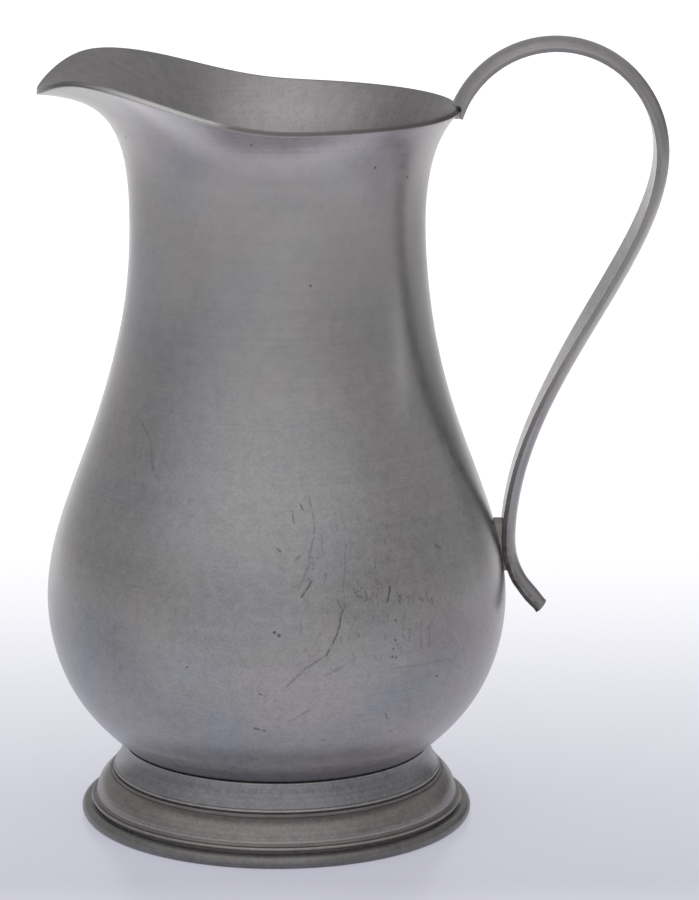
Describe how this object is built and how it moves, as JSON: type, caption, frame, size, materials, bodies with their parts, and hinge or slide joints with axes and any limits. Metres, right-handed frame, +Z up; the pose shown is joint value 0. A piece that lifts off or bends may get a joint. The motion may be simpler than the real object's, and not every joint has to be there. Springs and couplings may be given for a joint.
{
  "type": "pewter pitcher",
  "caption": "Open pot-bellied pewter pitcher with a pulled pouring lip, a stepped foot on a base ring and a bent strap handle, for serving water or other drinks.",
  "frame": {"origin": "on the body's turning axis, in the plane that the base ring stands on", "axes": "+Z up along the body's axis, +X towards the handle, -X towards the pouring lip"},
  "size_m": [0.1858, 0.1378, 0.2364],
  "materials": {
    "pewter_body": "satin",
    "pewter_foot": "satin",
    "pewter_ring": "satin",
    "pewter_handle": "satin",
    "solder": "matte"
  },
  "bodies": {
    "root": {"body_shell": "pewter_body", "foot_dome": "pewter_foot", "foot_base_ring": "pewter_ring", "foot_seam_solder": "solder", "ring_seam_solder": "solder", "handle_strap": "pewter_handle", "handle_pad_solder": "solder", "handle_rim_solder": "solder"}
  },
  "joints": []
}
